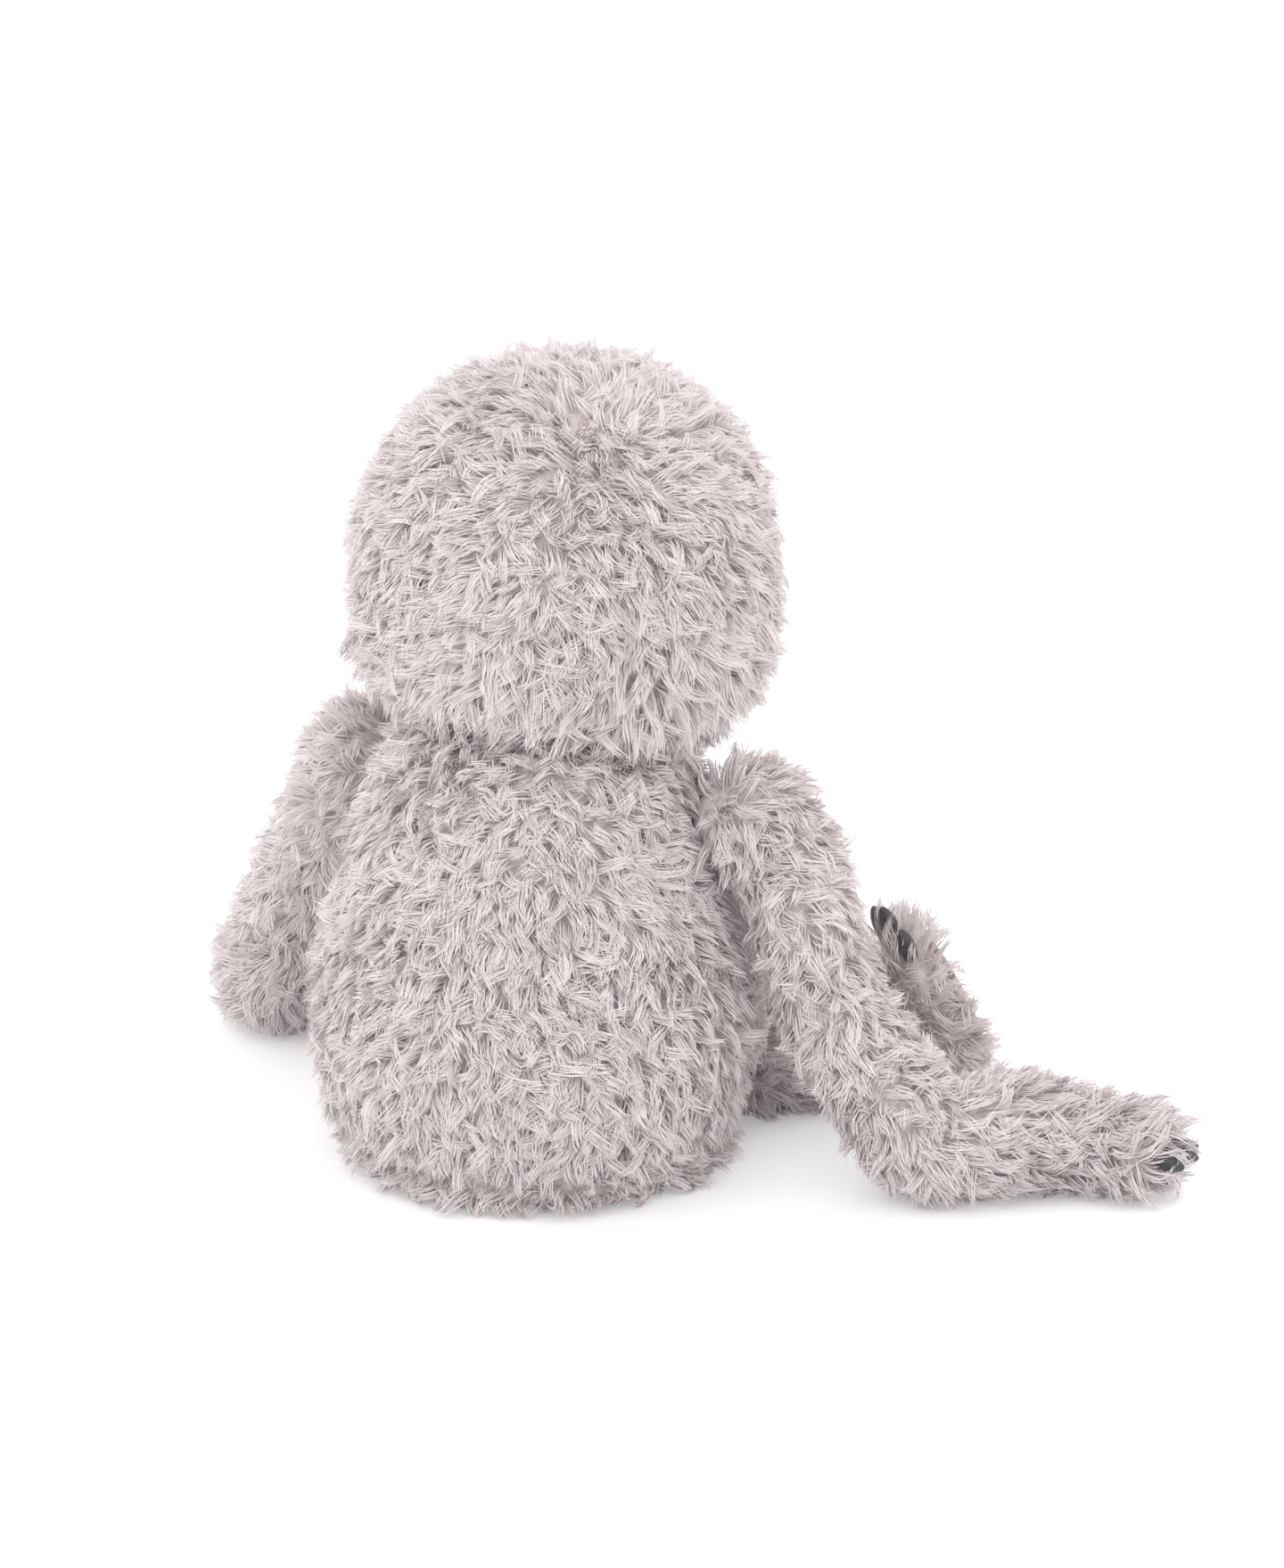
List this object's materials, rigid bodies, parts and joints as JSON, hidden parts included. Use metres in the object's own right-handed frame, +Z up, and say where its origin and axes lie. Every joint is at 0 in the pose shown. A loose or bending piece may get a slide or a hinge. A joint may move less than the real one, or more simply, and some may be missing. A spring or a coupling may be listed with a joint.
{
  "type": "plush sloth",
  "caption": "Seated stuffed sloth with a wide round head, pear-shaped body, long floppy arms, short legs with flat soles and small satin claws.",
  "frame": {"origin": "on the floor, at the middle of the flat of the base panel, under the middle of the body", "axes": "+Z up, the face looks along -Y, +X is the toy's left"},
  "size_m": [0.3403, 0.1999, 0.242],
  "materials": {
    "fur_fabric": "matte",
    "face_fabric": "matte",
    "patch_fabric": "matte",
    "sole_fabric": "matte",
    "neck_cloth": "matte",
    "fibre_filling": "matte",
    "pouch_cloth": "matte",
    "claw_satin": "satin",
    "eye_gloss": "gloss",
    "nose_gloss": "satin",
    "washer_plastic": "satin"
  },
  "bodies": {
    "torso": {"base_panel": "fur_fabric", "back_panel_right": "fur_fabric", "back_panel_left": "fur_fabric", "belly_panel": "fur_fabric", "body_filling": "fibre_filling", "pellet_pouch": "pouch_cloth"},
    "neck": {"neck_disc": "neck_cloth"},
    "head": {"head_back_right": "fur_fabric", "head_back_left": "fur_fabric", "head_filling": "fibre_filling", "face_panel": "face_fabric", "muzzle_pad": "face_fabric", "eye_patch_right": "patch_fabric", "eye_patch_left": "patch_fabric", "right_eye": "eye_gloss", "left_eye": "eye_gloss", "right_eye_washer": "washer_plastic", "left_eye_washer": "washer_plastic", "nose": "nose_gloss", "nose_washer": "washer_plastic"},
    "right_upper_arm": {"right_upper_arm_cover": "fur_fabric", "right_upper_arm_filling": "fibre_filling"},
    "right_forearm": {"right_forearm_cover": "fur_fabric", "right_forearm_filling": "fibre_filling", "right_hand_claw_1": "claw_satin", "right_hand_claw_2": "claw_satin", "right_hand_claw_3": "claw_satin"},
    "left_upper_arm": {"left_upper_arm_cover": "fur_fabric", "left_upper_arm_filling": "fibre_filling"},
    "left_forearm": {"left_forearm_cover": "fur_fabric", "left_forearm_filling": "fibre_filling", "left_hand_claw_1": "claw_satin", "left_hand_claw_2": "claw_satin", "left_hand_claw_3": "claw_satin"},
    "right_leg": {"right_leg_cover": "fur_fabric", "right_leg_filling": "fibre_filling", "right_foot_sole": "sole_fabric", "right_foot_claw_1": "claw_satin", "right_foot_claw_2": "claw_satin", "right_foot_claw_3": "claw_satin"},
    "left_leg": {"left_leg_cover": "fur_fabric", "left_leg_filling": "fibre_filling", "left_foot_sole": "sole_fabric", "left_foot_claw_1": "claw_satin", "left_foot_claw_2": "claw_satin", "left_foot_claw_3": "claw_satin"}
  },
  "joints": [
    {"name": "neck_turn", "type": "hinge", "parent": "torso", "child": "neck", "pos_m": [0, 0, 0.1], "axis": [0, 0, 1], "range_deg": [-30, 30]},
    {"name": "neck_nod", "type": "hinge", "parent": "neck", "child": "head", "pos_m": [0, 0, 0.1], "axis": [1, 0, 0], "range_deg": [-6, 14]},
    {"name": "right_shoulder_swing", "type": "hinge", "parent": "torso", "child": "right_upper_arm", "pos_m": [-0.06442, -0.01405, 0.11206], "axis": [-0.0175, 0.9998, 0], "range_deg": [0, 85]},
    {"name": "right_elbow_bend", "type": "hinge", "parent": "right_upper_arm", "child": "right_forearm", "pos_m": [-0.09667, -0.0168, 0.04454], "axis": [-0.5299, 0.848, 0], "range_deg": [0, 50]},
    {"name": "left_shoulder_swing", "type": "hinge", "parent": "torso", "child": "left_upper_arm", "pos_m": [0.06442, -0.01405, 0.11206], "axis": [-0.0175, -0.9998, 0], "range_deg": [0, 85]},
    {"name": "left_elbow_bend", "type": "hinge", "parent": "left_upper_arm", "child": "left_forearm", "pos_m": [0.1036, -0.04506, 0.05212], "axis": [-0.92, -0.392, 0], "range_deg": [0, 50]},
    {"name": "right_hip_lift", "type": "hinge", "parent": "torso", "child": "right_leg", "pos_m": [-0.0441, -0.06299, 0.0178], "axis": [-0.7373, 0.6756, 0], "range_deg": [0, 40]},
    {"name": "left_hip_lift", "type": "hinge", "parent": "torso", "child": "left_leg", "pos_m": [0.0441, -0.06299, 0.0178], "axis": [-0.7373, -0.6756, 0], "range_deg": [0, 40]}
  ]
}
